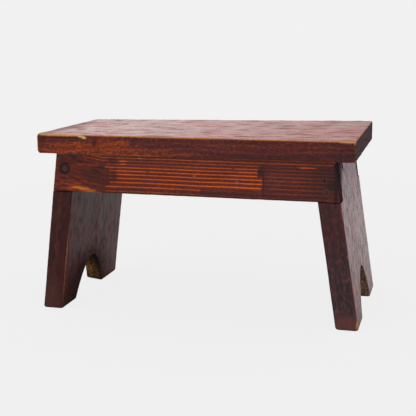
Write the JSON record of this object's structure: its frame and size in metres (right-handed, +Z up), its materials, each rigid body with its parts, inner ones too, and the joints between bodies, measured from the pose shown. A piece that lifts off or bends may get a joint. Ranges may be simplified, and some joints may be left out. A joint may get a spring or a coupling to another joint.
{
  "type": "shoe fitting stool",
  "caption": "Low rigid bench stool: a flat board seat on splayed end boards with arched feet, braced by rails let in at front and back, to sit on or rest a foot on while shoes are fitted.",
  "frame": {"origin": "on the floor under the middle of the seat", "axes": "+X along the seat to the right, +Y to the back, +Z up"},
  "size_m": [0.4748, 0.22, 0.2645],
  "materials": {
    "seat_wood": "dark red-brown stain under glossy shellac, worn to golden wood along the arrises",
    "end_wood": "dark red-brown stain under glossy shellac, scuffed at the feet",
    "rail_wood": "red-brown stain under shellac, with straight orange grain",
    "plug_wood": "dark end grain with dirt round it",
    "fastener_steel": "dull and darkened"
  },
  "bodies": {
    "root": {"seat_board": "seat_wood", "left_end_board": "end_wood", "right_end_board": "end_wood", "front_rail": "rail_wood", "rear_rail": "rail_wood", "front_left_screw": "fastener_steel", "front_left_plug": "plug_wood", "front_right_nails": "fastener_steel", "rear_left_nails": "fastener_steel", "rear_right_nails": "fastener_steel", "seat_left_nails": "fastener_steel", "seat_right_nails": "fastener_steel", "seat_front_nails": "fastener_steel", "seat_rear_nails": "fastener_steel"}
  },
  "joints": []
}
